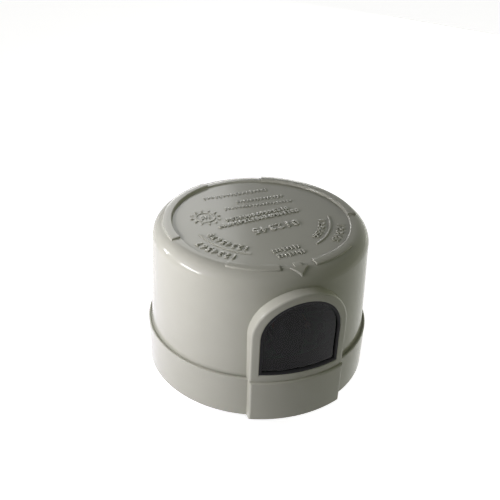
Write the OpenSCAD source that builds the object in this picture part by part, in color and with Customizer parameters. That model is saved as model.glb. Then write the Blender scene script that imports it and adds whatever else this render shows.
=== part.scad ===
// Plug-in photocell switch for street lights: a moulded housing with an arched window,
// a base plate with three locking blades, a gasket, and the control circuit inside.
// The origin is the centre of the gasket's sealing face. +Z is up and the window faces -Y.

/* [Housing] */
// Outside diameter of the skirt
skirt_d = 84; // [82:0.5:88]
// Height of the skirt band
skirt_h = 16.8; // [16:0.2:18]
// How far the skirt hangs below the gasket's face
skirt_drop = 8; // [7:0.5:9]
// Thickness of the skirt's wall
skirt_wall = 2.6; // [2.3:0.1:2.9]
// Width of the ledge between the skirt and the wall above it
ledge_w = 1.3; // [1:0.1:1.6]
// Rounding of the skirt's upper edge
skirt_edge_r = 0.7; // [0.4:0.1:0.9]
// Draft of the wall above the ledge, in degrees
wall_draft = 2.3; // [1.5:0.1:3]
// Height from the skirt's lower edge to the top of the grip pads
housing_h = 57.4; // [56:0.2:62]
// Thickness of the housing's wall
housing_wall = 2.3; // [2:0.1:2.6]
// Radius of the rounded shoulder
shoulder_r = 5.7; // [5.1:0.3:6.9]

/* [Top of the housing] */
// Width of the flat rim between the shoulder and the recess
rim_w = 1.4; // [1:0.1:2]
// Depth of the round recess below the rim
recess_depth = 0.5; // [0.4:0.1:1.1]
// How far the grip pads reach out from the recess
pad_reach = 3.3; // [2.7:0.1:3.9]
// Relief of the grip pads on the rim and the shoulder
pad_relief = 0.6; // [0.4:0.1:0.8]
// Length of each grip pad round the rim, in degrees
pad_arc = 80; // [70:1:84]
// Rounding of the pads' outer edge
pad_edge_r = 0.25; // [0.1:0.05:0.35]
// Room for the arrow in the front pad, in degrees
arrow_room = 21; // [17:1:25]
// Relief of the arrow on the shoulder
arrow_relief = 0.6; // [0.3:0.1:0.8]
// Length of the arrow in plan
arrow_l = 5.6; // [4.8:0.1:6]
// Length of the arrow's head
arrow_head_l = 3.1; // [2.4:0.1:3.6]
// Width of the arrow's head
arrow_head_w = 6.4; // [5:0.2:8]
// Width of the arrow's stem
arrow_stem_w = 2.6; // [1.6:0.2:3.4]
// Distance of the curved lines from the recess's edge
line_inset = 7.3; // [6:0.1:9]
// Width of the curved lines
line_w = 0.7; // [0.5:0.1:1]
// Relief of the curved lines
line_relief = 0.35; // [0.2:0.05:0.6]

/* [Window] */
// Width of the window opening
window_w = 29; // [26:0.5:31]
// Height of the opening from the sill to the crown of the arch
window_h = 28.9; // [26:0.2:30]
// Height of the sill above the skirt's ledge
sill_h = 2.9; // [2.4:0.1:3.4]
// Width of the frame round the opening
frame_w = 3; // [2.6:0.1:3.4]
// How far the frame's face stands out beyond the skirt
frame_proud = 1.5; // [1.2:0.1:1.8]
// Thickness of the frame's face
frame_t = 2.2; // [2:0.1:2.4]
// How far the apron below the window stands out beyond the skirt
apron_proud = 2.4; // [2:0.1:3]
// Width of the pane's hidden lip
pane_lip = 1.5; // [1.1:0.1:1.8]
// Thickness of the pane's lip
pane_lip_t = 1.5; // [1.2:0.1:1.8]
// How far the pane's face lies behind the frame's face
pane_setback = 0.9; // [0.6:0.1:1.2]
// Joint round the pane that the adhesive fills
pane_joint = 0.1; // [0.05:0.05:0.2]

/* [Base] */
// Thickness of the base plate
base_t = 3; // [2.6:0.1:3.4]
// Clearance between the base plate and the skirt
base_clear = 0.2; // [0.1:0.05:0.3]
// Height of the rim that stands inside the housing's wall
base_rim_h = 4; // [3:0.5:5]
// Thickness of that rim
base_rim_t = 1.5; // [1.2:0.1:2]
// How far the snap beads of the skirt reach under the base plate
snap_reach = 0.8; // [0.6:0.1:1]
// Length of each snap bead, in degrees
snap_arc = 20; // [14:1:26]
// Height of each snap bead
snap_h = 2.4; // [2:0.1:2.6]
// Width of the key that turns the base to its place
key_w = 4; // [3:0.5:5]
// Depth of the key
key_depth = 1.4; // [1:0.1:1.8]
// Thickness of the gasket
gasket_t = 3; // [2.6:0.1:3.2]
// Outside diameter of the gasket
gasket_od = 66; // [62:0.5:70]
// Inside diameter of the gasket
gasket_hole_d = 44; // [42:0.5:48]
// Rounding of the gasket's edges
gasket_edge_r = 0.5; // [0.3:0.1:0.8]

/* [Blades] */
// Diameter of the circle that the blades stand on
blade_circle_d = 32; // [31:0.5:34]
// Thickness of the blades
blade_t = 1.5; // [1.3:0.1:1.7]
// Reach of the blades below the gasket's face
blade_reach = 16.5; // [15.5:0.1:17.5]
// Width of the line and load blades
blade_w = 6.8; // [6:0.1:7.4]
// Width of the neutral blade
neutral_w = 9; // [8:0.1:10]
// Overhang of the locking hook
hook_l = 3.4; // [2.8:0.1:4]
// Height of the locking hook
hook_h = 6; // [5:0.1:6.6]
// Rounding of the hook's corners
hook_r = 1.2; // [0.6:0.1:1.6]
// Width of the neck that passes through the base plate
neck_w = 4.4; // [3.6:0.1:5]
// Clearance round the neck
neck_clear = 0.1; // [0.05:0.05:0.2]
// Length of the clinched foot on the base plate
foot_l = 7.2; // [6.6:0.1:7.8]
// Width of the tail that is soldered to the board
tail_w = 3; // [2.4:0.1:3.4]
// How far the tail stands out above the board
tail_stub = 1.4; // [1:0.1:2]

/* [Circuit board] */
// Diameter of the board
board_d = 66; // [65:0.5:69]
// Thickness of the board
board_t = 1.6; // [1.4:0.1:2]
// Height of the posts that carry the board
post_h = 5; // [4.4:0.2:6.4]
// Diameter of the posts
post_d = 6; // [5.4:0.2:7]
// Distance of the post's centres from the board's edge
post_inset = 4.5; // [4:0.1:5]
// Diameter of the board's screws
screw_d = 2.5; // [2.2:0.1:2.8]
// Length of the screws under the head
screw_l = 7; // [6:0.2:7.6]
// Diameter of the screw heads
screw_head_d = 5; // [4.4:0.2:5.4]
// Height of the screw heads
screw_head_h = 1.9; // [1.5:0.1:2.2]
// Length of the screws' tapered tips
screw_tip_l = 1.5; // [1:0.1:1.8]
// Clearance of the screws in the posts
screw_clear = 0.05; // [0.03:0.01:0.1]
// Diameter of the component leads
lead_d = 0.7; // [0.6:0.05:0.8]
// Clearance of a lead in its hole
lead_clear = 0.15; // [0.1:0.05:0.2]
// How far the leads stand out under the board
lead_stub = 1.4; // [1.2:0.1:1.6]
// Height of the solder cones
solder_h = 0.9; // [0.7:0.1:1.1]
// Width of the solder round each lead
solder_w = 0.6; // [0.5:0.05:0.7]
// Distance between the two holes of a diode or resistor
lead_pitch = 10; // [9.4:0.1:10.6]
// Spacing of the diodes and resistors side by side
row_pitch = 3.5; // [3.3:0.1:3.8]
// Space between neighbouring components
part_gap = 2.2; // [1.8:0.1:2.6]

/* [Large components] */
// Width of the relay
relay_w = 19; // [17:0.5:20]
// Depth of the relay
relay_l = 15.5; // [14:0.5:16]
// Height of the relay
relay_h = 15.5; // [13:0.5:18]
// Height of the relay's narrower foot
relay_foot_h = 0.8; // [0.5:0.1:1.2]
// Thickness of the dropper capacitor
film_t = 8.5; // [7:0.5:9]
// Length of the dropper capacitor
film_l = 18; // [15:0.5:18.5]
// Height of the dropper capacitor
film_h = 14.5; // [12:0.5:17]
// Diameter of the surge arrester's disc
arrester_d = 14; // [12:0.5:15]
// Thickness of the surge arrester's disc
arrester_t = 4.5; // [3.8:0.1:5]
// Height of the surge arrester above the board
arrester_lift = 2.4; // [2:0.1:3.4]
// Diameter of the smoothing capacitor
can_d = 10; // [8:0.5:10.5]
// Height of the smoothing capacitor
can_h = 16; // [12:0.5:20]
// Diameter of the delay capacitor
delay_d = 5; // [4:0.5:5.5]
// Height of the delay capacitor
delay_h = 11; // [9:0.5:12]
// Diameter of the dropper resistor
dropper_d = 4.5; // [4:0.1:4.8]
// Length of the dropper resistor
dropper_l = 11; // [9:0.5:11.5]

/* [Small components] */
// Diameter of the rectifier diodes
diode_d = 2.7; // [2.2:0.1:2.9]
// Length of the rectifier diodes
diode_l = 5.2; // [4.4:0.1:5.6]
// Diameter of the zener diode
zener_d = 2; // [1.7:0.1:2.4]
// Length of the zener diode
zener_l = 4; // [3.4:0.1:4.4]
// Diameter of the small resistors
resistor_d = 2.4; // [2:0.1:2.7]
// Length of the small resistors
resistor_l = 6.3; // [5.4:0.1:6.6]
// Height of the lying components above the board
lying_lift = 0.3; // [0.2:0.05:0.5]
// Width of the transistor
transistor_d = 4.6; // [4:0.1:5]
// Height of the transistor's body
transistor_h = 4.6; // [4:0.1:5.2]
// Height of the transistor above the board
transistor_lift = 2; // [1.6:0.1:2.6]
// Diameter of the light sensor
sensor_d = 5; // [4.6:0.1:5.4]
// Length of the light sensor's body in front of its collar
sensor_l = 8.2; // [7.4:0.1:8.8]
// Thickness of the light sensor's collar
collar_t = 1; // [0.8:0.1:1.3]
// Height of the light sensor's axis above the board
sensor_h = 12.5; // [11:0.1:13.6]
// Width of the stand that carries the light sensor
stand_w = 9; // [8:0.5:10]
// Depth of the stand
stand_l = 5; // [4.4:0.1:5.4]
// Clearance of the light sensor in its stand
sensor_clear = 0.1; // [0.05:0.05:0.15]

/* [Hidden] */
$fn = 96;
// how far a cut runs past a face, and how far an added piece runs into its carrier
over = 1;
sink = 0.4;

// Heights
skirt_z = -skirt_drop;
ledge_z = skirt_z + skirt_h;
top_z = skirt_z + housing_h;
base_z0 = gasket_t;
base_z1 = base_z0 + base_t;
board_z0 = base_z1 + post_h;
board_z1 = board_z0 + board_t;
rim_z = top_z - pad_relief;
floor_z = rim_z - recess_depth;
ceiling_z = floor_z - housing_wall;
tip_z = -blade_reach;

// Radii of the housing and the base
skirt_r = skirt_d / 2;
skirt_in_r = skirt_r - skirt_wall;
wall_foot_r = skirt_r - ledge_w;
frame_r = skirt_r + frame_proud;
apron_r = skirt_r + apron_proud;
pane_seat_r = frame_r - frame_t;
base_r = skirt_in_r - base_clear;
function wall_r(z) = wall_foot_r - (z - ledge_z) * tan(wall_draft);
base_rim_r = wall_r(base_z1 + base_rim_h) - housing_wall / cos(wall_draft) - base_clear;

// Centre of the shoulder's arc in the section, and what follows from it
shoulder_c = [wall_r(rim_z) - shoulder_r * (1 - sin(wall_draft)) / cos(wall_draft), rim_z - shoulder_r];
recess_r = shoulder_c[0] - rim_w;
pad_r = recess_r + pad_reach;
function shoulder_z(r, d) = shoulder_c[1] + sqrt(pow(shoulder_r + d, 2) - pow(r - shoulder_c[0], 2));
// azimuth and length of each pad; the front one is in two parts beside the arrow
pad_turn = 360 / 3;
half_pad = (pad_arc - arrow_room) / 2;
pad_spans = [[-pad_turn, pad_arc], [pad_turn, pad_arc],
             [-(half_pad + arrow_room) / 2, half_pad], [(half_pad + arrow_room) / 2, half_pad]];
line_r = recess_r - line_inset;
line_from = 29;
line_arc = 51;

// Window
boss_w = window_w + 2 * frame_w;
sill_z = ledge_z + sill_h;
spring_z = sill_z + window_h - window_w / 2;
apron_hollow_h = base_z0 - skirt_wall / 2 - skirt_z;

// Blades, measured from +X
neutral_turn = 90;
line_turn = 210;
load_turn = 330;
blade_r = blade_circle_d / 2;
tail_r = blade_r - foot_l;
tail_slot = [blade_t + 2 * lead_clear, tail_w + 2 * lead_clear];

// Cross in the screw heads, and the space that solder leaves round what it holds
cross_l = screw_head_d * 0.56;
cross_w = screw_head_d * 0.14;
solder_joint = 0.02;

// Places on the board
board_r = board_d / 2;
film_rim = 6.4;
arrester_rim = 9.9;
can_rim = 5.4;
stand_rim = 0.2;
lead_run = 2;
pin_inset = 1.8;
function polar(r, a) = [r * cos(a), r * sin(a)];
function turned(p, a) = [p[0] * cos(a) - p[1] * sin(a), p[0] * sin(a) + p[1] * cos(a)];
function placed(points, at, turn = 0) = [for (p = points) at + turned(p, turn)];
posts = [for (a = [130, 218, 322]) polar(board_r - post_inset, a)];
tail_front_y = -tail_r * sin(30) - tail_w / 2 - solder_w;
relay_at = [0, tail_r + blade_t / 2 + solder_w + part_gap + relay_l / 2];
film_at = [-(board_r - film_rim - film_t / 2), part_gap / 2];
arrester_at = [board_r - arrester_rim - arrester_t / 2, 2 * part_gap + arrester_d / 2];
can_turn = 72;
can_at = polar(board_r - can_rim - can_d / 2, can_turn - 90);
delay_at = [can_at[0] - can_d / 2 - part_gap / 2 - delay_d / 2, tail_front_y - part_gap / 4 - delay_d / 2];
dropper_pitch = dropper_l + 2 * lead_run;
dropper_at = [-dropper_pitch / 2, tail_front_y - part_gap / 4 - dropper_d / 2];
row_y = dropper_at[1] - dropper_d / 2 - part_gap - lead_pitch / 2;
diode_places = [for (i = [1:4]) [-i * row_pitch, row_y]];
zener_pitch = zener_l + 2 * lead_run;
zener_at = [0, row_y + (lead_pitch - zener_pitch) / 2];
resistor_places = [for (i = [1.3, 2.3, 3.3]) [i * row_pitch, row_y]];
transistor_at = [arrester_at[0] - arrester_t / 2 - part_gap - transistor_d / 2, 2 * part_gap];
transistor_pitch = 1.9;
stand_y = -(board_r - stand_rim);
sensor_leads_y = stand_y + stand_l + collar_t + lead_run;
sensor_pitch = 2.54;
collar_w = 0.4;
case_edge_r = 0.7;

// Lead patterns, each round its own component's centre
function pair(pitch) = [[0, -pitch / 2], [0, pitch / 2]];
relay_pin = [relay_w / 2 - pin_inset, relay_l / 2 - pin_inset];
relay_pins = [for (x = [-1, 1], y = [-1, 1]) [x * relay_pin[0], y * relay_pin[1]]];
relay_leads = placed(concat(relay_pins, [[relay_pin[0], 0]]), relay_at);
film_leads = placed(pair(film_l - 2 * pin_inset), film_at);
arrester_leads = placed(pair(arrester_d / 2), arrester_at);
can_leads = placed(pair(can_d / 2), can_at, can_turn);
delay_leads = placed(pair(delay_d / 2), delay_at);
dropper_leads = placed(pair(dropper_pitch), dropper_at, 90);
diode_leads = [for (at = diode_places) each placed(pair(lead_pitch), at)];
zener_leads = placed(pair(zener_pitch), zener_at);
resistor_leads = [for (at = resistor_places) each placed(pair(lead_pitch), at)];
transistor_leads = placed([for (i = [-1:1]) [0, i * transistor_pitch]], transistor_at);
sensor_leads = [for (i = [-1, 1]) [i * sensor_pitch / 2, sensor_leads_y]];
all_leads = concat(relay_leads, film_leads, arrester_leads, can_leads, delay_leads, dropper_leads,
                   diode_leads, zener_leads, resistor_leads, transistor_leads, sensor_leads);

// Section of the housing above zl, grown outwards by d
module dome_section(d, zl) {
    c = shoulder_c;
    r = shoulder_r + d;
    t = c + r * [cos(wall_draft), sin(wall_draft)];
    polygon([[0, zl], [wall_r(zl) + d / cos(wall_draft), zl], t, c, [c[0], rim_z + d], [0, rim_z + d]]);
    translate(c)
        circle(r);
}

// What a rounding takes off an outer corner, which points to +X and +Y
module corner(r) {
    translate([-r, -r])
        difference() {
            square(r + over);
            circle(r);
        }
}

// Outside of the housing in section
module housing_section() {
    difference() {
        union() {
            dome_section(0, ledge_z);
            translate([0, skirt_z])
                square([skirt_r, skirt_h]);
        }
        translate([skirt_r, ledge_z])
            corner(skirt_edge_r);
    }
}

// Hollow of the housing in section, with the step that the base plate meets
module hollow_section() {
    intersection() {
        dome_section(-housing_wall, base_z1 - over);
        square([skirt_r, ceiling_z]);
    }
    translate([0, skirt_z - over])
        square([skirt_in_r, base_z1 - skirt_z + over]);
}

// Arched outline of a window part, drawn with Z up
module arch(w, zl) {
    translate([-w / 2, zl])
        square([w, spring_z - zl]);
    translate([0, spring_z])
        circle(w / 2);
}

// Pushes an outline drawn with Z up towards the front, from a depth to beyond the apron
module to_front(from) {
    translate([0, -from, 0])
        rotate([90, 0, 0])
            linear_extrude(apron_r + over - from)
                children();
}

// Round bar about the housing's axis
module bar(r, z0, z1) {
    translate([0, 0, z0])
        cylinder(r = r, h = z1 - z0);
}

// Part of a ring from a section, centred on an azimuth that is counted from the window
module ring_part(azimuth, arc) {
    rotate([0, 0, azimuth - 90 - arc / 2])
        rotate_extrude(angle = arc)
            children();
}

// Frame and apron of the window, filled
module boss() {
    intersection() {
        to_front(skirt_in_r / 2)
            arch(boss_w, ledge_z - over);
        bar(frame_r, ledge_z - over, top_z);
    }
    intersection() {
        to_front(skirt_in_r / 2)
            translate([-boss_w / 2, skirt_z])
                square([boss_w, skirt_h]);
        bar(apron_r, skirt_z, ledge_z);
    }
}

// Section of a grip pad, which follows the shoulder and runs on into the recess
module pad_section() {
    root_r = recess_r - sink;
    root_z = shoulder_z(pad_r, 0) - sink;
    edge = [pad_r - pad_edge_r, shoulder_z(pad_r - pad_edge_r, pad_relief - pad_edge_r)];
    slope = edge - shoulder_c;
    difference() {
        intersection() {
            translate([root_r, root_z])
                square([pad_r - root_r, top_z - root_z]);
            dome_section(pad_relief, ledge_z);
        }
        translate(edge)
            difference() {
                polygon([[0, 0], [over, 0], [over, over], over * slope / norm(slope)]);
                circle(pad_edge_r);
            }
    }
}

// Grip pads round the rim
module pads() {
    for (span = pad_spans)
        ring_part(span[0], span[1])
            pad_section();
}

// Arrow that points to the window and follows the shoulder
module arrow() {
    neck_y = recess_r + arrow_l - arrow_head_l;
    intersection() {
        translate([0, 0, shoulder_c[1]])
            linear_extrude(shoulder_r + over)
                polygon([[-arrow_stem_w / 2, sink - recess_r], [-arrow_stem_w / 2, -neck_y],
                         [-arrow_head_w / 2, -neck_y], [0, -recess_r - arrow_l],
                         [arrow_head_w / 2, -neck_y], [arrow_stem_w / 2, -neck_y],
                         [arrow_stem_w / 2, sink - recess_r]]);
        rotate_extrude()
            difference() {
                dome_section(arrow_relief, ledge_z);
                dome_section(-sink, ledge_z - over);
            }
    }
}

// Curved lines in the recess, left and right of the arrow
module curved_lines() {
    for (s = [-1, 1])
        ring_part(s * (line_from + line_arc / 2), line_arc)
            translate([line_r - line_w / 2, floor_z - sink])
                square([line_w, line_relief + sink]);
}

// Beads that snap under the base plate
module snap_beads() {
    for (a = [45, 135, 225, 315])
        ring_part(a, snap_arc)
            polygon([[skirt_in_r - snap_reach, base_z0], [skirt_in_r + sink, base_z0],
                     [skirt_in_r + sink, base_z0 - snap_h], [skirt_in_r, base_z0 - snap_h],
                     [skirt_in_r - snap_reach, base_z0 - snap_h / 3]]);
}

// Key inside the skirt at the back, wider by grow on each side
module key(grow) {
    translate([-key_w / 2 - grow, skirt_in_r - key_depth - grow, base_z0 - grow])
        cube([key_w + 2 * grow, key_depth + grow + sink, base_t + 2 * grow]);
}

module housing() {
    color([0.63, 0.62, 0.56])
        union() {
            difference() {
                union() {
                    rotate_extrude()
                        housing_section();
                    boss();
                    pads();
                    arrow();
                }
                rotate_extrude()
                    hollow_section();
                // recess in the top
                bar(recess_r, floor_z, top_z + over);
                // room for the pane's lip behind the frame
                intersection() {
                    to_front(skirt_in_r / 2)
                        arch(window_w + 2 * pane_lip + 2 * pane_joint, sill_z - pane_lip - pane_joint);
                    bar(pane_seat_r, ledge_z, top_z);
                }
                // window opening
                to_front(skirt_in_r / 2)
                    arch(window_w, sill_z);
                // hollow of the apron, open below
                intersection() {
                    to_front(skirt_in_r / 2)
                        translate([-boss_w / 2 + skirt_wall, skirt_z - over])
                            square([boss_w - 2 * skirt_wall, apron_hollow_h + over]);
                    bar(apron_r - skirt_wall, skirt_z - over, ledge_z);
                }
            }
            curved_lines();
            snap_beads();
            key(0);
        }
}

module window() {
    back_r = pane_seat_r - pane_lip_t;
    color([0.12, 0.12, 0.12, 0.8])
        difference() {
            union() {
                intersection() {
                    to_front(skirt_in_r / 2)
                        arch(window_w + 2 * pane_lip, sill_z - pane_lip);
                    bar(pane_seat_r - pane_joint / 2, ledge_z, top_z);
                }
                intersection() {
                    to_front(skirt_in_r / 2)
                        arch(window_w - 2 * pane_joint, sill_z + pane_joint);
                    bar(frame_r - pane_setback, ledge_z, top_z);
                }
            }
            bar(back_r, ledge_z - over, top_z + over);
        }
}

// Piece of the blade ring, cut to an outline that is drawn in the tangent plane at +X
module curved_strip(t) {
    intersection() {
        difference() {
            bar(blade_r + t / 2, tip_z - over, board_z1);
            bar(blade_r - t / 2, tip_z - 2 * over, board_z1 + over);
        }
        rotate([90, 0, 90])
            linear_extrude(blade_r + t)
                children();
    }
}

// Flat outline of a blade with its hook to the left
module blade_outline(w) {
    difference() {
        union() {
            translate([-w / 2, tip_z])
                square([w, base_z0 - tip_z]);
            translate([-w / 2 - hook_l, tip_z])
                square([w + hook_l, hook_h]);
            translate([-neck_w / 2, base_z0 - over])
                square([neck_w, base_t + blade_t + over]);
        }
        translate([-w / 2 - hook_l, tip_z])
            rotate(180)
                corner(hook_r);
        translate([w / 2, tip_z])
            rotate(270)
                corner(hook_r);
        translate([-w / 2 - hook_l, tip_z + hook_h])
            rotate(90)
                corner(hook_r);
    }
}

// Blade with its foot on the base plate and its tail up to the board
module blade(w, turn) {
    color([0.80, 0.66, 0.34])
        rotate([0, 0, turn])
            union() {
                curved_strip(blade_t)
                    blade_outline(w);
                translate([tail_r - blade_t / 2, -neck_w / 2, base_z1])
                    cube([foot_l + blade_t / 2, neck_w, blade_t]);
                translate([tail_r - blade_t / 2, -tail_w / 2, base_z1])
                    cube([blade_t, tail_w, board_z1 - base_z1 + tail_stub]);
            }
}

module neutral_blade() {
    blade(neutral_w, neutral_turn);
}

module line_blade() {
    blade(blade_w, line_turn);
}

module load_blade() {
    blade(blade_w, load_turn);
}

module base() {
    pilot_z = board_z1 - screw_l - sink;
    color([0.16, 0.16, 0.16])
        difference() {
            union() {
                bar(base_r, base_z0, base_z1);
                difference() {
                    bar(base_rim_r, base_z1 - sink, base_z1 + base_rim_h);
                    bar(base_rim_r - base_rim_t, base_z1 - over, base_z1 + base_rim_h + over);
                }
                for (p = posts)
                    translate([p[0], p[1], base_z1 - sink])
                        cylinder(d = post_d, h = post_h + sink);
            }
            for (p = posts)
                translate([p[0], p[1], pilot_z])
                    cylinder(d = screw_d + 2 * screw_clear, h = board_z0 - pilot_z + over);
            for (a = [neutral_turn, line_turn, load_turn])
                rotate([0, 0, a])
                    curved_strip(blade_t + 2 * neck_clear)
                        translate([-neck_w / 2 - neck_clear, base_z0 - over])
                            square([neck_w + 2 * neck_clear, base_t + 2 * over]);
            key(base_clear);
        }
}

module gasket() {
    color([0.09, 0.09, 0.09])
        rotate_extrude()
            difference() {
                translate([gasket_hole_d / 2, 0])
                    square([(gasket_od - gasket_hole_d) / 2, gasket_t]);
                translate([gasket_od / 2, 0])
                    rotate(270)
                        corner(gasket_edge_r);
                translate([gasket_hole_d / 2, 0])
                    rotate(180)
                        corner(gasket_edge_r);
            }
}

module circuit_board() {
    color([0.10, 0.36, 0.20])
        difference() {
            bar(board_r, board_z0, board_z1);
            for (p = all_leads)
                translate([p[0], p[1], board_z0 - over])
                    cylinder(d = lead_d + 2 * lead_clear, h = board_t + 2 * over);
            for (p = posts)
                translate([p[0], p[1], board_z0 - over])
                    cylinder(d = screw_d + 2 * lead_clear, h = board_t + 2 * over);
            for (a = [neutral_turn, line_turn, load_turn])
                rotate([0, 0, a])
                    translate([tail_r - tail_slot[0] / 2, -tail_slot[1] / 2, board_z0 - over])
                        cube([tail_slot[0], tail_slot[1], board_t + 2 * over]);
        }
}

module board_screws() {
    color([0.72, 0.72, 0.72])
        for (p = posts)
            translate([p[0], p[1], board_z1])
                difference() {
                    union() {
                        cylinder(d1 = screw_head_d, d2 = screw_head_d * 0.8, h = screw_head_h);
                        translate([0, 0, screw_tip_l - screw_l])
                            cylinder(d = screw_d, h = screw_l - screw_tip_l + sink);
                        translate([0, 0, -screw_l])
                            cylinder(d1 = screw_d / 4, d2 = screw_d, h = screw_tip_l);
                    }
                    for (a = [0, 90])
                        rotate([0, 0, a])
                            translate([-cross_l / 2, -cross_w / 2, screw_head_h / 2])
                                cube([cross_l, cross_w, screw_head_h]);
                }
}

// Solder under the board at each lead, and on top of it at the three blade tails
module solder_joints() {
    color([0.70, 0.71, 0.72]) {
        for (p = all_leads)
            translate([p[0], p[1], board_z0 - solder_h])
                difference() {
                    cylinder(d1 = lead_d + solder_w / 2, d2 = lead_d + 2 * solder_w, h = solder_h);
                    translate([0, 0, -over])
                        cylinder(d = lead_d + 2 * solder_joint, h = solder_h + 2 * over);
                }
        for (a = [neutral_turn, line_turn, load_turn])
            rotate([0, 0, a])
                translate([tail_r, 0, board_z1])
                    difference() {
                        cylinder(d1 = tail_w + 3 * solder_w, d2 = tail_w + solder_w, h = solder_h);
                        linear_extrude(3 * solder_h, center = true)
                            square([blade_t + 2 * solder_joint, tail_w + 2 * solder_joint], center = true);
                    }
    }
}

// Straight leads from under the board up to a height above it
module leads(points, up) {
    for (p = points)
        translate([p[0], p[1], board_z0 - lead_stub])
            cylinder(d = lead_d, h = board_t + lead_stub + up);
}

// Rectangle with rounded corners
module round_rect(w, l, r) {
    square([w - 2 * r, l], center = true);
    square([w, l - 2 * r], center = true);
    for (x = [-1, 1], y = [-1, 1])
        translate([x * (w / 2 - r), y * (l / 2 - r)])
            circle(r);
}

module relay() {
    color([0.10, 0.11, 0.13]) {
        translate([relay_at[0], relay_at[1], board_z1])
            union() {
                linear_extrude(relay_foot_h + sink)
                    round_rect(relay_w - relay_foot_h, relay_l - relay_foot_h, case_edge_r / 2);
                translate([0, 0, relay_foot_h])
                    linear_extrude(relay_h - relay_foot_h)
                        round_rect(relay_w, relay_l, case_edge_r);
            }
        leads(relay_leads, sink);
    }
}

module dropper_capacitor() {
    color([0.78, 0.66, 0.22]) {
        translate([film_at[0], film_at[1], board_z1])
            linear_extrude(film_h)
                round_rect(film_t, film_l, case_edge_r);
        leads(film_leads, sink);
    }
}

module surge_arrester() {
    axis_z = board_z1 + arrester_lift + arrester_d / 2;
    color([0.14, 0.26, 0.52]) {
        translate([arrester_at[0], arrester_at[1], axis_z])
            rotate([0, 90, 0])
                rotate_extrude()
                    intersection() {
                        union() {
                            translate([0, -arrester_t / 2])
                                square([(arrester_d - arrester_t) / 2, arrester_t]);
                            translate([(arrester_d - arrester_t) / 2, 0])
                                circle(arrester_t / 2);
                        }
                        translate([0, -arrester_t])
                            square([arrester_d, 2 * arrester_t]);
                    }
        leads(arrester_leads, arrester_lift + arrester_d / 2);
        for (p = arrester_leads)
            translate([p[0], p[1], board_z1 + arrester_lift / 2])
                cylinder(d1 = 1.6 * lead_d, d2 = 2.6 * lead_d, h = (arrester_lift + arrester_d) / 2.5);
    }
}

// Can of an electrolytic capacitor with its beaded neck and rounded top edge
module can(d, h) {
    rotate_extrude()
        difference() {
            square([d / 2, h]);
            translate([d / 2, h])
                corner(d * 0.06);
            translate([d / 2 + d * 0.04, d * 0.2])
                circle(d * 0.08);
        }
}

module smoothing_capacitor() {
    color([0.10, 0.11, 0.14]) {
        translate([can_at[0], can_at[1], board_z1])
            can(can_d, can_h);
        leads(can_leads, sink);
    }
}

module delay_capacitor() {
    color([0.12, 0.13, 0.20]) {
        translate([delay_at[0], delay_at[1], board_z1])
            can(delay_d, delay_h);
        leads(delay_leads, sink);
    }
}

// Lying component with bent leads: ends of full thickness, waist a little thinner
module lying(d, l, waist, pitch) {
    z = board_z1 + d / 2 + lying_lift;
    translate([0, 0, z])
        rotate([90, 0, 0])
            translate([0, 0, -l / 2])
                difference() {
                    cylinder(d = d, h = l);
                    if (waist < 1)
                        translate([0, 0, l * 0.24])
                            difference() {
                                cylinder(d = d + over, h = l * 0.52);
                                translate([0, 0, -over])
                                    cylinder(d = d * waist, h = l * 0.52 + 2 * over);
                            }
                }
    for (s = [-1, 1]) {
        translate([0, s * pitch / 2, z])
            sphere(d = lead_d);
        translate([0, s * pitch / 2, board_z0 - lead_stub])
            cylinder(d = lead_d, h = z - board_z0 + lead_stub);
        translate([0, s * (l / 2 - sink), z])
            rotate([-90 * s, 0, 0])
                cylinder(d = lead_d, h = pitch / 2 - l / 2 + sink);
    }
}

module dropper_resistor() {
    color([0.42, 0.55, 0.60])
        translate(dropper_at)
            rotate(90)
                lying(dropper_d, dropper_l, 0.9, dropper_pitch);
}

module rectifier_diodes() {
    color([0.09, 0.09, 0.10])
        for (at = diode_places)
            translate(at)
                lying(diode_d, diode_l, 1, lead_pitch);
}

module zener_diode() {
    color([0.70, 0.36, 0.18])
        translate(zener_at)
            lying(zener_d, zener_l, 1, zener_pitch);
}

module resistors() {
    color([0.74, 0.64, 0.46])
        for (at = resistor_places)
            translate(at)
                lying(resistor_d, resistor_l, 0.86, lead_pitch);
}

module transistor() {
    color([0.09, 0.09, 0.10]) {
        translate([transistor_at[0], transistor_at[1], board_z1 + transistor_lift])
            linear_extrude(transistor_h)
                difference() {
                    circle(d = transistor_d);
                    translate([transistor_d * 0.28, -transistor_d])
                        square(2 * transistor_d);
                }
        leads(transistor_leads, transistor_lift + sink);
    }
}

// Light sensor with its domed end towards the window
module light_sensor() {
    z = board_z1 + sensor_h;
    collar_y = stand_y + stand_l;
    color([0.16, 0.13, 0.16]) {
        translate([0, collar_y, z])
            rotate([90, 0, 0])
                rotate_extrude() {
                    square([sensor_d / 2, sensor_l - sensor_d / 2]);
                    translate([0, -collar_t])
                        square([sensor_d / 2 + collar_w, collar_t]);
                    intersection() {
                        translate([0, sensor_l - sensor_d / 2])
                            circle(d = sensor_d);
                        square([sensor_d, sensor_l + over]);
                    }
                }
        for (p = sensor_leads) {
            translate([p[0], p[1], z])
                sphere(d = lead_d);
            translate([p[0], p[1], board_z0 - lead_stub])
                cylinder(d = lead_d, h = z - board_z0 + lead_stub);
            translate([p[0], p[1], z])
                rotate([90, 0, 0])
                    cylinder(d = lead_d, h = sensor_leads_y - collar_y - collar_t + sink);
        }
    }
}

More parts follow.
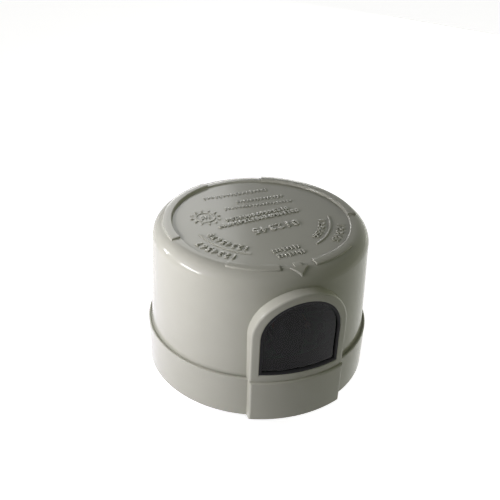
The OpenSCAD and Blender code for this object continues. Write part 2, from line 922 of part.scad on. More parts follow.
// Moulded stand on the board that holds the light sensor at the window
module sensor_stand() {
    z = board_z1 + sensor_h;
    color([0.10, 0.10, 0.10])
        difference() {
            translate([0, stand_y + stand_l, 0])
                rotate([90, 0, 0])
                    linear_extrude(stand_l) {
                        translate([-stand_w / 2, board_z1])
                            square([stand_w, sensor_h]);
                        translate([0, z])
                            circle(d = stand_w);
                    }
            translate([0, stand_y + stand_l + over, z])
                rotate([90, 0, 0])
                    cylinder(d = sensor_d + 2 * sensor_clear, h = stand_l + 2 * over);
        }
}

housing();
window();
base();
gasket();
neutral_blade();
line_blade();
load_blade();
circuit_board();
board_screws();
solder_joints();
relay();
dropper_capacitor();
surge_arrester();
smoothing_capacitor();
delay_capacitor();
dropper_resistor();
rectifier_diodes();
zener_diode();
resistors();
transistor();
light_sensor();
sensor_stand();
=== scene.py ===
# %% [markdown]
# # A photocell switch for a street light
# This lesson dresses the CAD model of a plug-in photocell switch. The CAD model is the fixed frame: its
# nodes stay where they are, get finishes, or are replaced by rounder pieces that are modelled here in
# metres.

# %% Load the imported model
import math

import bmesh
import bpy
from mathutils import Matrix, Vector


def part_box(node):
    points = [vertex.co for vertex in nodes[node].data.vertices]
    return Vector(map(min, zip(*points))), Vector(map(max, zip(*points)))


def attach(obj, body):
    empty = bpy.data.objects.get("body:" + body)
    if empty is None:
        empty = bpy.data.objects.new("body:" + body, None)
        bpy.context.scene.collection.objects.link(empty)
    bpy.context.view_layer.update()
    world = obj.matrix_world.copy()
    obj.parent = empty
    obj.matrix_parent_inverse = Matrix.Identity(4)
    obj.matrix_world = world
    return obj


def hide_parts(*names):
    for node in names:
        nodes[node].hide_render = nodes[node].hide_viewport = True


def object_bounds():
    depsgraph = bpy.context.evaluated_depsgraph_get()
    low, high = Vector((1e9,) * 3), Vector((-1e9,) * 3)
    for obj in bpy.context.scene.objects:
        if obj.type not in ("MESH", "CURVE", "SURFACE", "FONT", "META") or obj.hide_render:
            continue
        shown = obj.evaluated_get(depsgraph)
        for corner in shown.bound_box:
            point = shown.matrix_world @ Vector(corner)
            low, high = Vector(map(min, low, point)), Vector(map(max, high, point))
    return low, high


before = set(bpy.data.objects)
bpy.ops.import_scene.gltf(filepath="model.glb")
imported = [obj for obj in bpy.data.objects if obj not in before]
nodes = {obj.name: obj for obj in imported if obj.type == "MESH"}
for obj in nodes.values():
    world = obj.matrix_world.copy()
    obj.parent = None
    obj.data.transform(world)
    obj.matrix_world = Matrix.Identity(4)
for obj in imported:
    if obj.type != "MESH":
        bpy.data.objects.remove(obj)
cad_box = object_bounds()
print("loaded", len(nodes), "nodes, box in mm", [round(1000 * v, 1) for corner in cad_box for v in corner])

# %% [markdown]
# ## Sizes
# Everything follows a few sizes of the housing, the same ones that the CAD model has. They are written in
# millimetres and turned into metres here, because Blender and the frame both use metres. Places closer than
# TINY count as one.

# %% Main sizes
MM = 0.001
TINY = 1e-7
SKIRT_R, SKIRT_IN_R = 42.0 * MM, 39.4 * MM
SKIRT_Z, LEDGE_Z, TOP_Z = -8.0 * MM, 8.8 * MM, 49.4 * MM
PAD_H, RECESS_DEPTH = 0.6 * MM, 0.5 * MM
RIM_Z = TOP_Z - PAD_H
FLOOR_Z = RIM_Z - RECESS_DEPTH
CEILING_Z, STEP_Z = 46.0 * MM, 6.0 * MM
WALL_FOOT_R, WALL_T, DRAFT = 40.7 * MM, 2.3 * MM, math.radians(2.3)
GROOVE_W, GROOVE_D = 0.6 * MM, 0.4 * MM
SHOULDER_R, RIM_W, RIM_EDGE_R = 5.7 * MM, 1.4 * MM, 0.2 * MM
PAD_W, LINE_INSET = 3.3 * MM, 7.3 * MM
FRAME_R, APRON_R, BOSS_W, FRAME_W = 43.5 * MM, 44.4 * MM, 35.0 * MM, 3.0 * MM
WINDOW_W, SILL_Z, SPRING_Z = 29.0 * MM, 11.7 * MM, 26.1 * MM
BASE_Z0, BOARD_Z1 = 3.0 * MM, 12.6 * MM


def wall_r(z):
    """Outside radius of the drafted wall at a height."""
    return WALL_FOOT_R - (z - LEDGE_Z) * math.tan(DRAFT)


SHOULDER_C = (wall_r(RIM_Z) - SHOULDER_R * (1 - math.sin(DRAFT)) / math.cos(DRAFT), RIM_Z - SHOULDER_R)
RECESS_R = SHOULDER_C[0] - RIM_W
PAD_R = RECESS_R + PAD_W
LINE_R = RECESS_R - LINE_INSET
print("recess radius", round(RECESS_R / MM, 2), "shoulder centre", [round(v / MM, 2) for v in SHOULDER_C])

# %% [markdown]
# ## Small helpers
# Operators act on whatever is selected, so each helper first deselects everything. Faces and edges are then
# picked in code by where they lie or which way they face.


# %% Helpers for selecting and for modifiers
SMOOTH_ANGLE = math.radians(38)


def only(obj):
    """Select one object and make it the active one."""
    bpy.ops.object.select_all(action="DESELECT")
    obj.select_set(True)
    bpy.context.view_layer.objects.active = obj


def start_edit(obj, kind="EDGE"):
    """Go into edit mode on one object with nothing selected."""
    only(obj)
    bpy.ops.object.mode_set(mode="EDIT")
    bpy.ops.mesh.select_mode(type=kind)
    bpy.ops.mesh.select_all(action="DESELECT")


def end_edit():
    """Go back to object mode."""
    bpy.ops.object.mode_set(mode="OBJECT")


def turn_outwards():
    """In edit mode, select the whole mesh and turn its faces outwards."""
    bpy.ops.mesh.select_all(action="SELECT")
    bpy.ops.mesh.normals_make_consistent(inside=False)


def pick(obj, kind, test):
    """In edit mode, select the verts, edges or faces that pass a test, and return how many did."""
    bm = bmesh.from_edit_mesh(obj.data)
    bm.normal_update()
    for item in [*bm.verts, *bm.edges, *bm.faces]:
        item.select = False
    found = [item for item in getattr(bm, kind) if test(item)]
    for item in found:
        item.select_set(True)
    bm.select_flush_mode()
    bmesh.update_edit_mesh(obj.data)
    return len(found)


def put_on(obj, kind, **settings):
    """Add one modifier with its settings and apply it."""
    only(obj)
    modifier = obj.modifiers.new(kind.lower(), kind)
    for name, value in settings.items():
        setattr(modifier, name, value)
    bpy.ops.object.modifier_apply(modifier=modifier.name)


def combine(obj, other, operation):
    """Join another solid to obj, or cut it out of obj, and delete the other one."""
    put_on(obj, "BOOLEAN", object=other, operation=operation, solver="MANIFOLD")
    bpy.data.objects.remove(other, do_unlink=True)


def tidy_shading(obj):
    """Smooth the faces up to an angle, and let the large faces keep their own direction."""
    only(obj)
    bpy.ops.object.shade_smooth_by_angle(angle=SMOOTH_ANGLE)
    put_on(obj, "WEIGHTED_NORMAL", keep_sharp=True, weight=50)


def report(obj):
    """Print a piece's size and whether its mesh is closed."""
    bm = bmesh.new()
    bm.from_mesh(obj.data)
    loose = sum(not e.is_manifold for e in bm.edges)
    print(f"{obj.name}: {len(bm.faces)} faces, open edges {loose}, volume {bm.calc_volume() * 1e9:.1f} mm3")
    bm.free()


def seat(obj, replaced=()):
    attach(obj, "root")
    if replaced:
        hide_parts(*replaced)
    report(obj)


# %% [markdown]
# ## The housing's round shell
# The real housing is one moulding: a skirt, a fine groove on its ledge, a wall with a little draft, a
# rounded shoulder and a shallow recess in the top. A lathe shape like this is a section that is spun about
# the axis. A ring of points is laid on the section, the edge on the axis is deleted, and the spin closes
# the shell inside and outside in one go.


# %% Section of the shell
FLOOR_ROUND, GROOVE_ROUND, LEDGE_ROUND = 0.2 * MM, 0.12 * MM, 0.15 * MM
SKIRT_ROUND, FOOT_ROUND, FOOT_IN_ROUND = 0.45 * MM, 0.5 * MM, 0.4 * MM


def arc(centre, radius, start, end, steps):
    """Points on an arc in the section, with angles in degrees from the outward direction."""
    angles = [math.radians(start + (end - start) * i / steps) for i in range(steps + 1)]
    return [(centre[0] + radius * math.cos(a), centre[1] + radius * math.sin(a)) for a in angles]


def rounded(corner, radius, start, end, steps, into=(-1, -1)):
    """An arc that rounds a corner of the section, with its centre on the side that into names."""
    return arc((corner[0] + into[0] * radius, corner[1] + into[1] * radius), radius, start, end, steps)


def shell_section():
    """The closed section of the housing, from the recess round the outside and back along the inside."""
    draft = math.degrees(DRAFT)
    inner_r = SHOULDER_R - WALL_T
    inner_end = math.degrees(math.asin((CEILING_Z - SHOULDER_C[1]) / inner_r))
    groove_r, groove_z = WALL_FOOT_R + GROOVE_W, LEDGE_Z - GROOVE_D
    points = [(0.0, FLOOR_Z)]
    points += rounded((RECESS_R, FLOOR_Z), FLOOR_ROUND, -90, 0, 3, (-1, 1))
    points += rounded((RECESS_R, RIM_Z), RIM_EDGE_R, 180, 90, 4, (1, -1))
    points += arc(SHOULDER_C, SHOULDER_R, 90, draft, 20)
    points += rounded((WALL_FOOT_R, groove_z), GROOVE_ROUND, 180, 270, 3, (1, 1))
    points += rounded((groove_r, groove_z), GROOVE_ROUND, 270, 360, 3, (-1, 1))
    points += rounded((groove_r, LEDGE_Z), LEDGE_ROUND, 180, 90, 3, (1, -1))
    points += rounded((SKIRT_R, LEDGE_Z), SKIRT_ROUND, 90, 0, 6)
    points += rounded((SKIRT_R, SKIRT_Z), FOOT_ROUND, 0, -90, 4, (-1, 1))
    points += rounded((SKIRT_IN_R, SKIRT_Z), FOOT_IN_ROUND, 270, 180, 3, (1, 1))
    points += [(SKIRT_IN_R, STEP_Z), (wall_r(STEP_Z) - WALL_T / math.cos(DRAFT), STEP_Z)]
    points += arc(SHOULDER_C, inner_r, draft, inner_end, 6)
    points += [(0.0, CEILING_Z)]
    return points


def ring_of_points(name, points, filled):
    """A primitive circle whose points are laid on a section in the XZ plane."""
    bpy.ops.object.select_all(action="DESELECT")
    kind = "NGON" if filled else "NOTHING"
    bpy.ops.mesh.primitive_circle_add(vertices=len(points), radius=MM, fill_type=kind)
    obj = bpy.context.object
    obj.name = name
    for vertex, (r, z) in zip(obj.data.vertices, points):
        vertex.co = (r, 0, z)
    return obj


# %% Spin the shell
def lathe(name, points, steps):
    """Spin an open section, whose ends lie on the axis, into a closed solid."""
    obj = ring_of_points(name, points, filled=False)
    start_edit(obj)
    pick(obj, "edges", lambda e: all(abs(v.co.x) < TINY for v in e.verts))
    bpy.ops.mesh.delete(type="EDGE")
    bpy.ops.mesh.select_all(action="SELECT")
    bpy.ops.mesh.spin(steps=steps, angle=2 * math.pi, center=(0, 0, 0), axis=(0, 0, 1))
    bpy.ops.mesh.select_all(action="SELECT")
    bpy.ops.mesh.remove_doubles(threshold=TINY)
    turn_outwards()
    end_edit()
    return obj


ROUND_STEPS = 240
housing = lathe("moulded_housing", shell_section(), ROUND_STEPS)
report(housing)

# %% [markdown]
# ## The window's frame and the apron
# The arched frame stands out of the wall and its face follows a cylinder. It is drawn flat: half of a disc
# is kept, its straight edge is pulled down to the sill, and an inset makes the ring. It is then pulled back
# into the wall, its front edges are bevelled, and upright cuts let the flat face bend to the cylinder.


# %% Flat arch and bending
ARCH_POINTS, FLAT_ANGLE = 128, math.radians(0.5)
BEND_STEP, CUT_MERGE = 1.25 * MM, 0.01 * MM


def arch_face(name, width, foot_z, radius):
    """One flat face with a round top, in the plane that touches the front of a cylinder of that radius."""
    bpy.ops.object.select_all(action="DESELECT")
    place, upright = (0, -radius, SPRING_Z), (math.pi / 2, 0, 0)
    bpy.ops.mesh.primitive_circle_add(
        vertices=ARCH_POINTS, radius=width / 2, fill_type="NGON", location=place, rotation=upright
    )
    obj = bpy.context.object
    obj.name = name
    bpy.ops.object.transform_apply(location=True, rotation=True, scale=True)
    start_edit(obj)
    bpy.ops.mesh.select_all(action="SELECT")
    bpy.ops.mesh.bisect(plane_co=(0, 0, SPRING_Z), plane_no=(0, 0, 1), clear_inner=True)
    pick(obj, "edges", lambda e: all(abs(v.co.z - SPRING_Z) < TINY for v in e.verts))
    bpy.ops.mesh.extrude_region_move(TRANSFORM_OT_translate={"value": (0, 0, foot_z - SPRING_Z)})
    bpy.ops.mesh.select_all(action="SELECT")
    bpy.ops.mesh.dissolve_limited(angle_limit=FLAT_ANGLE)
    end_edit()
    return obj


def bend_to(obj, radius):
    """Cut a flat-fronted block into upright strips and push them back to follow a cylinder."""
    half = max(abs(v.co.x) for v in obj.data.vertices)
    start_edit(obj)
    count = int(half / BEND_STEP)
    for i in range(-count, count + 1):
        bpy.ops.mesh.select_all(action="SELECT")
        bpy.ops.mesh.bisect(plane_co=(i * BEND_STEP, 0, 0), plane_no=(1, 0, 0))
    bpy.ops.mesh.select_all(action="SELECT")
    bpy.ops.mesh.remove_doubles(threshold=CUT_MERGE)
    turn_outwards()
    end_edit()
    for vertex in obj.data.vertices:
        vertex.co.y += radius - math.sqrt(radius**2 - vertex.co.x**2)
    return obj


def at_front(edge, radius):
    """Is this an edge between the flat front and a side wall?"""
    on_front = all(abs(v.co.y + radius) < TINY for v in edge.verts)
    return on_front and any(abs(f.normal.y) < 0.1 for f in edge.link_faces)


def pull_back(obj, depth):
    """Give a flat face its depth, away from the viewer."""
    start_edit(obj, "FACE")
    bpy.ops.mesh.select_all(action="SELECT")
    bpy.ops.mesh.extrude_region_move(TRANSFORM_OT_translate={"value": (0, depth, 0)})
    turn_outwards()
    end_edit()


def bevel_edges(obj, test, offset, segments):
    """Round the edges that pass a test."""
    start_edit(obj)
    count = pick(obj, "edges", test)
    bpy.ops.mesh.bevel(offset=offset, segments=segments, affect="EDGES")
    end_edit()
    return count


# %% Frame ring
FRAME_DEPTH, FRAME_ROUND, FRAME_IN_ROUND = 4.2 * MM, 0.65 * MM, 0.4 * MM


def arch_reach(edge):
    """How far the middle of an edge lies from the arch's axis, and its height."""
    centre = (edge.verts[0].co + edge.verts[1].co) / 2
    return math.hypot(centre.x, max(0, centre.z - SPRING_Z)), centre.z


def outside(edge):
    """Is this edge on the outer outline of the frame, above its foot?"""
    reach, z = arch_reach(edge)
    return reach > (BOSS_W - FRAME_W) / 2 and z > SILL_Z - FRAME_W + TINY


def window_frame():
    """The arched ring with rounded front edges."""
    ring = arch_face("window_frame", BOSS_W, SILL_Z - FRAME_W, FRAME_R)
    start_edit(ring, "FACE")
    bpy.ops.mesh.select_all(action="SELECT")
    bpy.ops.mesh.inset(thickness=FRAME_W)
    bpy.ops.mesh.delete(type="FACE")
    end_edit()
    pull_back(ring, FRAME_DEPTH)
    outer = bevel_edges(ring, lambda e: at_front(e, FRAME_R) and outside(e), FRAME_ROUND, 5)

    def inner_edge(edge):
        above_foot = min(v.co.z for v in edge.verts) > SILL_Z - FRAME_W / 2
        return at_front(edge, FRAME_R) and not outside(edge) and above_foot

    inner = bevel_edges(ring, inner_edge, FRAME_IN_ROUND, 4)
    print("frame edges rounded outside and inside:", outer, inner)
    return bend_to(ring, FRAME_R)


# %% Apron and cutters
APRON_DEPTH, APRON_ROUND, APRON_LIFT = 3.8 * MM, 0.6 * MM, 0.01 * MM
APRON_WALL, APRON_ROOM_Z, APRON_ROOM_DEPTH = 2.6 * MM, 1.7 * MM, 6 * MM
LIP_ROOM_W, LIP_ROOM_R, LIP_ROOM_DEPTH = 1.6 * MM, 41.3 * MM, 12 * MM


def front_block(name, half, z0, z1, radius, depth):
    """A block with a flat front that touches a cylinder of that radius."""
    bpy.ops.object.select_all(action="DESELECT")
    place = (0, -radius + depth / 2, (z0 + z1) / 2)
    bpy.ops.mesh.primitive_cube_add(size=1, location=place, scale=(2 * half, depth, z1 - z0))
    obj = bpy.context.object
    obj.name = name
    bpy.ops.object.transform_apply(location=True, rotation=True, scale=True)
    return obj


def apron():
    """The block below the window, with a rounded front."""
    block = front_block("apron", BOSS_W / 2, SKIRT_Z, LEDGE_Z + APRON_LIFT, APRON_R, APRON_DEPTH)
    bevel_edges(block, lambda e: at_front(e, APRON_R), APRON_ROUND, 5)
    return bend_to(block, APRON_R)


def lip_room():
    """The room behind the frame for the pane's lip."""
    room = arch_face("lip_room", WINDOW_W + 2 * LIP_ROOM_W, SILL_Z - LIP_ROOM_W, LIP_ROOM_R)
    pull_back(room, LIP_ROOM_DEPTH)
    return bend_to(room, LIP_ROOM_R)


def apron_room():
    """The hollow of the apron, open below."""
    half, front_r = BOSS_W / 2 - APRON_WALL, APRON_R - APRON_WALL
    room = front_block("apron_room", half, SKIRT_Z - MM, APRON_ROOM_Z, front_r, APRON_ROOM_DEPTH)
    return bend_to(room, front_r)


combine(housing, window_frame(), "UNION")
combine(housing, apron(), "UNION")
combine(housing, lip_room(), "DIFFERENCE")
combine(housing, apron_room(), "DIFFERENCE")
report(housing)

# %% [markdown]
# ## Grip pads, lines and snap beads
# Three grip pads stand on the rim, a third of a turn apart. The front one leaves room for the arrow in its
# middle. Two thin curved lines mark the recess, and four beads inside the skirt hold the base plate. Each
# is a small section that is spun part of the way round. The top of a pad's section runs along the shoulder
# at one height. Each is sunk a little into the housing, so that the two join cleanly.


# %% Ring parts
def ring_part(name, points, azimuth, arc_deg, steps):
    """Spin a filled section over an arc that is centred on an azimuth, counted from the window."""
    obj = ring_of_points(name, points, filled=True)
    turn = Matrix.Rotation(math.radians(azimuth - 90 + arc_deg / 2), 4, "Z")
    obj.data.transform(turn)
    start_edit(obj)
    bpy.ops.mesh.select_all(action="SELECT")
    bpy.ops.mesh.spin(steps=steps, angle=math.radians(arc_deg), center=(0, 0, 0), axis=(0, 0, 1))
    turn_outwards()
    end_edit()
    return obj


def end_edges(edge):
    """Is this a sharp edge round one of the two flat ends of a ring part?"""
    sharp = len(edge.link_faces) == 2 and edge.calc_face_angle(0) > math.radians(60)
    flat_end = any(len(f.verts) > 4 for f in edge.link_faces)
    return sharp and flat_end


PAD_ARC, ARROW_ROOM = 80.0, 21.0
PAD_EDGE, PAD_IN_ROUND, PAD_END_ROUND = 0.25 * MM, 0.45 * MM, 0.15 * MM
PAD_ROOT, PAD_SET_BACK = 1.2 * MM, 0.02 * MM
PAD_SPANS = [(a - PAD_ARC / 2, a + PAD_ARC / 2) for a in (-120, 120)]
PAD_SPANS += [(-PAD_ARC / 2, -ARROW_ROOM / 2), (ARROW_ROOM / 2, PAD_ARC / 2)]


def pad_section():
    """Section of a pad: upright sides, and a top that follows the shoulder."""
    crown_r = SHOULDER_R + PAD_H
    edge_r = PAD_R - PAD_EDGE
    lift = math.sqrt((crown_r - PAD_EDGE) ** 2 - (edge_r - SHOULDER_C[0]) ** 2)
    turn = math.degrees(math.atan2(lift, edge_r - SHOULDER_C[0]))
    inner_r = RECESS_R + PAD_SET_BACK
    foot = RIM_Z - PAD_ROOT
    points = [(inner_r, foot), (PAD_R, foot)]
    points += arc((edge_r, SHOULDER_C[1] + lift), PAD_EDGE, 0, turn, 4)
    points += arc(SHOULDER_C, crown_r, turn, 90, 6)[1:]
    return points + rounded((inner_r, TOP_Z), PAD_IN_ROUND, 90, 180, 5, (1, -1))


def pad_end(edge):
    """Is this an edge of a pad's end that stays above the housing?"""
    return end_edges(edge) and min(v.co.z for v in edge.verts) > RIM_Z - MM


pad_points = pad_section()
for first, last in PAD_SPANS:
    pad = ring_part("pad", pad_points, (first + last) / 2, last - first, int(last - first))
    bevel_edges(pad, pad_end, PAD_END_ROUND, 3)
    combine(housing, pad, "UNION")

LINE_FROM, LINE_ARC, LINE_STEPS = 29, 51, 40
LINE_W, LINE_H, LINE_ROOT, LINE_ROUND = 0.7 * MM, 0.35 * MM, 0.3 * MM, 0.15 * MM
line_in, line_out = LINE_R - LINE_W / 2, LINE_R + LINE_W / 2
line_low, line_top = FLOOR_Z - LINE_ROOT, FLOOR_Z + LINE_H
line_section = [(line_in, line_low), (line_out, line_low)]
line_section += rounded((line_out, line_top), LINE_ROUND, 0, 90, 2)
line_section += rounded((line_in, line_top), LINE_ROUND, 90, 180, 2, (1, -1))
for side in (-1, 1):
    line = ring_part("line", line_section, side * (LINE_FROM + LINE_ARC / 2), LINE_ARC, LINE_STEPS)
    combine(housing, line, "UNION")

SNAP_REACH, SNAP_H, SKIRT_ROOT, SNAP_ARC = 0.8 * MM, 2.4 * MM, 0.4 * MM, 20
snap_root, snap_tip = SKIRT_IN_R + SKIRT_ROOT, SKIRT_IN_R - SNAP_REACH
snap_section = [
    (snap_tip, BASE_Z0),
    (snap_root, BASE_Z0),
    (snap_root, BASE_Z0 - SNAP_H),
    (SKIRT_IN_R, BASE_Z0 - SNAP_H),
    (snap_tip, BASE_Z0 - SNAP_H / 3),
]
for azimuth in (45, 135, 225, 315):
    combine(housing, ring_part("bead", snap_section, azimuth, SNAP_ARC, 16), "UNION")
report(housing)

# %% [markdown]
# ## The arrow
# A raised arrow on the shoulder points to the window. It is drawn flat and cut across into narrow strips,
# given a root below the surface, its upper edges are rounded, and then it is laid on the shoulder by
# height.

# %% Arrow
ARROW_RELIEF, ARROW_L, ARROW_HEAD_L = 0.6 * MM, 5.6 * MM, 3.1 * MM
ARROW_HEAD_W, ARROW_STEM_W = 6.4 * MM, 2.6 * MM
ARROW_STRIPS, ARROW_ROOT, ARROW_ROUND = 16, 1.2 * MM, 0.14 * MM


def shoulder_height(r, relief):
    """Height of the top or the shoulder at a radius, grown by a relief."""
    past = max(0.0, r - SHOULDER_C[0])
    return SHOULDER_C[1] + math.sqrt((SHOULDER_R + relief) ** 2 - past**2)


def arrow():
    """The arrow as a solid that follows the shoulder."""
    neck = -RECESS_R - ARROW_L + ARROW_HEAD_L
    start, tip = -RECESS_R - RIM_EDGE_R, -RECESS_R - ARROW_L
    stem, head = ARROW_STEM_W / 2, ARROW_HEAD_W / 2
    half = [(stem, start), (stem, neck), (head, neck)]
    outline = [(-x, y) for x, y in half] + [(0, tip)] + half[::-1]
    obj = ring_of_points("arrow", outline, filled=True)
    for vertex, (x, y) in zip(obj.data.vertices, outline):
        vertex.co = (x, y, 0)
    start_edit(obj)
    for i in range(1, ARROW_STRIPS):
        bpy.ops.mesh.select_all(action="SELECT")
        cut_y = start + (tip - start) * i / ARROW_STRIPS
        bpy.ops.mesh.bisect(plane_co=(0, cut_y, 0), plane_no=(0, 1, 0))
    bpy.ops.mesh.select_all(action="SELECT")
    bpy.ops.mesh.remove_doubles(threshold=CUT_MERGE)
    bpy.ops.mesh.extrude_region_move(TRANSFORM_OT_translate={"value": (0, 0, -ARROW_ROOT)})
    turn_outwards()
    end_edit()

    def rim(edge):
        top = all(v.co.z > -ARROW_ROOT / 2 for v in edge.verts)
        return top and any(abs(f.normal.z) < 0.1 for f in edge.link_faces)

    bevel_edges(obj, rim, ARROW_ROUND, 2)
    for vertex in obj.data.vertices:
        vertex.co.z += shoulder_height(math.hypot(vertex.co.x, vertex.co.y), ARROW_RELIEF)
    return obj


combine(housing, arrow(), "UNION")
report(housing)

# %% Key for the base plate, and the finished housing
KEY_W, KEY_DEPTH, KEY_ROUND = 4.0 * MM, 1.4 * MM, 0.3 * MM
key = front_block("key", KEY_W / 2, BASE_Z0, STEP_Z, KEY_DEPTH - SKIRT_IN_R, KEY_DEPTH + SKIRT_ROOT)
bevel_edges(key, lambda e: abs(e.verts[0].co.z - e.verts[1].co.z) > MM, KEY_ROUND, 3)
combine(housing, key, "UNION")
tidy_shading(housing)
seat(housing, ["housing"])

# %% [markdown]
# ## The smoked pane and the black bead round it
# The pane is a curved plate of smoked plastic that lies a little behind the frame's face, with a wider lip
# behind the frame. A black bead fills the corner round it.

# %% Pane
PANE_R, LIP_R, PANE_BACK_R = 42.6 * MM, 41.25 * MM, 39.8 * MM
PANE_JOINT, PANE_ROUND, LIP_W, LIP_INSET = 0.1 * MM, 0.3 * MM, 1.5 * MM, 0.05 * MM
pane = arch_face("smoked_window", WINDOW_W - 2 * PANE_JOINT, SILL_Z + PANE_JOINT, PANE_R)
pull_back(pane, PANE_R - PANE_BACK_R)
bevel_edges(pane, lambda e: at_front(e, PANE_R), PANE_ROUND, 3)
bend_to(pane, PANE_R)
lip = arch_face("lip", WINDOW_W + 2 * LIP_W, SILL_Z - LIP_W, LIP_R)
pull_back(lip, LIP_R - PANE_BACK_R - LIP_INSET)
bend_to(lip, LIP_R)
combine(pane, lip, "UNION")
tidy_shading(pane)
seat(pane, ["window"])


# %% Black bead
BEAD_W, BEAD_H, BEAD_ROOT, BEAD_ROUND = 1.15 * MM, 0.7 * MM, 0.25 * MM, 0.65 * MM
BEAD_R = PANE_R + BEAD_H
bead = arch_face("window_black_bead", WINDOW_W, SILL_Z, BEAD_R)
start_edit(bead, "FACE")
bpy.ops.mesh.select_all(action="SELECT")
bpy.ops.mesh.inset(thickness=BEAD_W)
bpy.ops.mesh.delete(type="FACE")
end_edit()
pull_back(bead, BEAD_H + BEAD_ROOT)


def bead_inner(edge):
    """Is this an edge on the bead's inner outline, at its front?"""
    reach, z = arch_reach(edge)
    return at_front(edge, BEAD_R) and reach < (WINDOW_W - BEAD_W) / 2 and z > SILL_Z + BEAD_W / 2


print("sealant edges rounded:", bevel_edges(bead, bead_inner, BEAD_ROUND, 5))
bend_to(bead, BEAD_R)
tidy_shading(bead)
seat(bead)

# %% [markdown]
# ## Marks in the recess
# The floor of the recess carries small raised marks, as on a dial: rows of plain numbers, rows of ticks,
# and a ring with ticks. A number starts as a text object that is turned into a mesh before it is moved. A
# tick is modelled once and copied. They read from the back of the switch.

# %% Numbers
RELIEF, STROKE, MARK_ROUND, DIGIT_SHARE = 0.4 * MM, 0.03 * MM, 0.05 * MM, 0.73
MARK_ANGLE = math.radians(35)
marks = []


def lay(obj, x, y, turn):
    """Put a mark on the floor of the recess and write its place into its mesh."""
    only(obj)
    obj.matrix_world = Matrix.Translation((x, y, FLOOR_Z)) @ Matrix.Rotation(turn, 4, "Z")
    bpy.ops.object.transform_apply(location=True, rotation=True, scale=True)
    marks.append(obj)


def number(text, height, x, y, turn):
    """A raised number, as high as asked, centred at x and y."""
    bpy.ops.object.select_all(action="DESELECT")
    bpy.ops.object.text_add(location=(0, 0, 0))
    obj = bpy.context.object
    obj.data.body = text
    obj.data.size = height / DIGIT_SHARE
    obj.data.align_x, obj.data.align_y = "CENTER", "CENTER"
    obj.data.resolution_u = 6
    obj.data.extrude = RELIEF
    obj.data.offset = STROKE
    obj.data.bevel_depth, obj.data.bevel_resolution = MARK_ROUND, 1
    bpy.ops.object.convert(target="MESH")
    lay(bpy.context.object, x, y, turn)


def number_row(count, height, radius, az_from, az_to):
    """Numbers from 1 along an arc, with their tops towards the rim."""
    for i in range(count):
        azimuth = math.radians(az_from + (az_to - az_from) * i / (count - 1))
        x, y = radius * math.sin(azimuth), -radius * math.cos(azimuth)
        number(str(1 + i), height, x, y, azimuth + math.pi)


OUTER_ROW_R, INNER_ROW_R = LINE_R + 3.6 * MM, LINE_R - 3.2 * MM
number_row(5, 2.7 * MM, OUTER_ROW_R, 66, 43)
number_row(7, 2.8 * MM, OUTER_ROW_R, -39, -68)
number_row(6, 2.5 * MM, INNER_ROW_R, 72, 40)
number_row(8, 2.6 * MM, INNER_ROW_R, -34, -74)


def along_line(count, start, end):
    """Places at even steps between two points in millimetres, each with the turn of the line."""
    start, end = Vector(start) * MM, Vector(end) * MM
    turn = math.atan2(end.y - start.y, end.x - start.x)
    places = [start.lerp(end, i / (count - 1)) for i in range(count)]
    return [(at.x, at.y, turn) for at in places]


def number_line(count, height, start, end):
    """Digits in sequence along a straight line, with their tops towards the front."""
    for i, place in enumerate(along_line(count, start, end)):
        number(str(i % 10), height, *place)


number_line(6, 3.7 * MM, (11.0, -5.4), (-5.0, -7.6))
number_line(20, 2.1 * MM, (15.0, 3.1), (-16.0, -0.8))
number_line(15, 2.0 * MM, (12.0, 5.9), (-12.0, 2.9))
print("numbers on the dial:", len(marks))

# %% Ticks
bpy.ops.object.select_all(action="DESELECT")
TICK_W, TICK_ROUND = 0.45 * MM, 0.1 * MM
bpy.ops.mesh.primitive_cube_add(size=1, location=(0, 0, 0), scale=(TICK_W, MM, 2 * RELIEF))
tick_model = bpy.context.object
bpy.ops.object.transform_apply(location=True, rotation=True, scale=True)
bevel_edges(tick_model, lambda e: all(v.co.z > 0 for v in e.verts), TICK_ROUND, 2)


def tick(length, x, y, turn):
    """One copy of the tick, which is 1 mm long, stretched to its length."""
    obj = tick_model.copy()
    obj.data = tick_model.data.copy()
    bpy.context.scene.collection.objects.link(obj)
    obj.data.transform(Matrix.Diagonal((1, length / MM, 1, 1)))
    lay(obj, x, y, turn)


def tick_row(count, start, end, length, long_length, every):
    """A straight scale of ticks between two points, with longer ones at regular steps."""
    for i, place in enumerate(along_line(count, start, end)):
        tick(long_length if i % every == 0 else length, *place)


tick_row(8, (-4.2, -22.4), (5.4, -21.6), 1.8 * MM, 2.5 * MM, 3)
tick_row(8, (-3.6, -26.0), (6.0, -25.2), 1.8 * MM, 2.5 * MM, 3)
tick_row(20, (-10.0, 11.4), (16.0, 11.0), 1.2 * MM, 1.8 * MM, 6)
tick_row(14, (-4.0, 15.6), (14.0, 15.8), 1.4 * MM, 2.0 * MM, 6)
tick_row(17, (-15.0, 21.6), (10.0, 22.6), 1.5 * MM, 2.3 * MM, 4)
RING_X, RING_Y, RING_R, RING_WIRE_R = -19.0 * MM, 7.0 * MM, 3.4 * MM, 0.3 * MM
RAY_R, RAY_L, RAYS = RING_R + 1.6 * MM, 1.1 * MM, 12
BAR_L, BAR_PITCH = 2.6 * MM, 1.3 * MM
for i in range(RAYS):
    angle = 2 * math.pi * i / RAYS
    x, y = RING_X + RAY_R * math.cos(angle), RING_Y + RAY_R * math.sin(angle)
    tick(RAY_L, x, y, angle - math.pi / 2)
for i in (-1, 0, 1):
    tick(BAR_L, RING_X + i * BAR_PITCH, RING_Y, 0.0)
bpy.data.objects.remove(tick_model, do_unlink=True)

